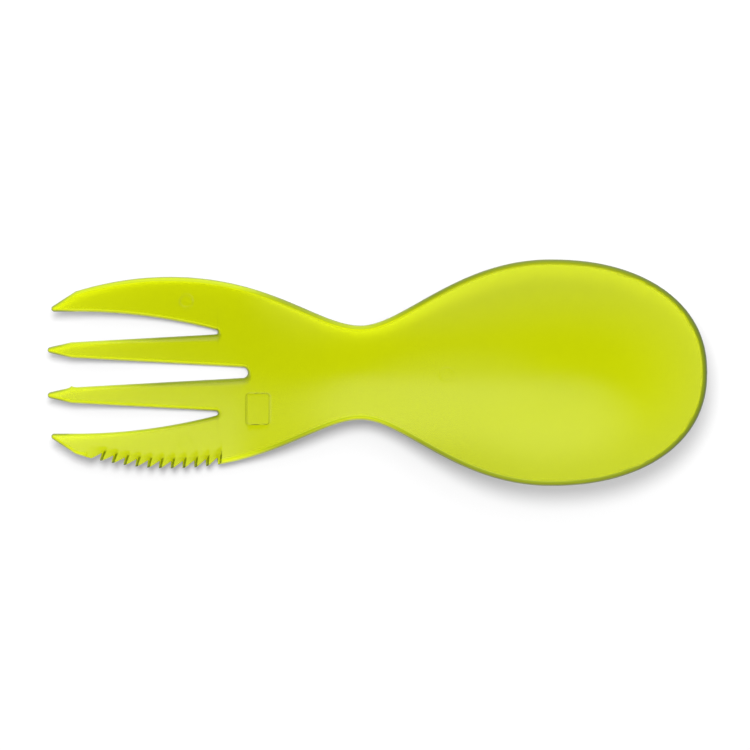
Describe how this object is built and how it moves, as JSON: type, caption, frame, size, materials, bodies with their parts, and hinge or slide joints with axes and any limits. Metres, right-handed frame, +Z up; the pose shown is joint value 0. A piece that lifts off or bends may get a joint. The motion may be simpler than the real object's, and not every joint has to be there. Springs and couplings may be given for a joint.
{
  "type": "spork",
  "caption": "Moulded translucent plastic spork: a spoon bowl and a tined fork end to end, joined by a narrow waist, with a saw edge along one outer tine.",
  "frame": {"origin": "under the middle of the overall length, on the plane that the spork rests on", "axes": "+X to the tip of the spoon bowl, +Y to the plain outer tine's side, +Z up out of the bowl"},
  "size_m": [0.14, 0.048, 0.0119],
  "materials": {
    "lime_plastic": "satin, translucent"
  },
  "bodies": {
    "root": {"spoon_bowl": "lime_plastic", "waist": "lime_plastic", "fork_palm": "lime_plastic", "plain_tine": "lime_plastic", "upper_inner_tine": "lime_plastic", "lower_inner_tine": "lime_plastic", "knife_tine": "lime_plastic"}
  },
  "joints": []
}
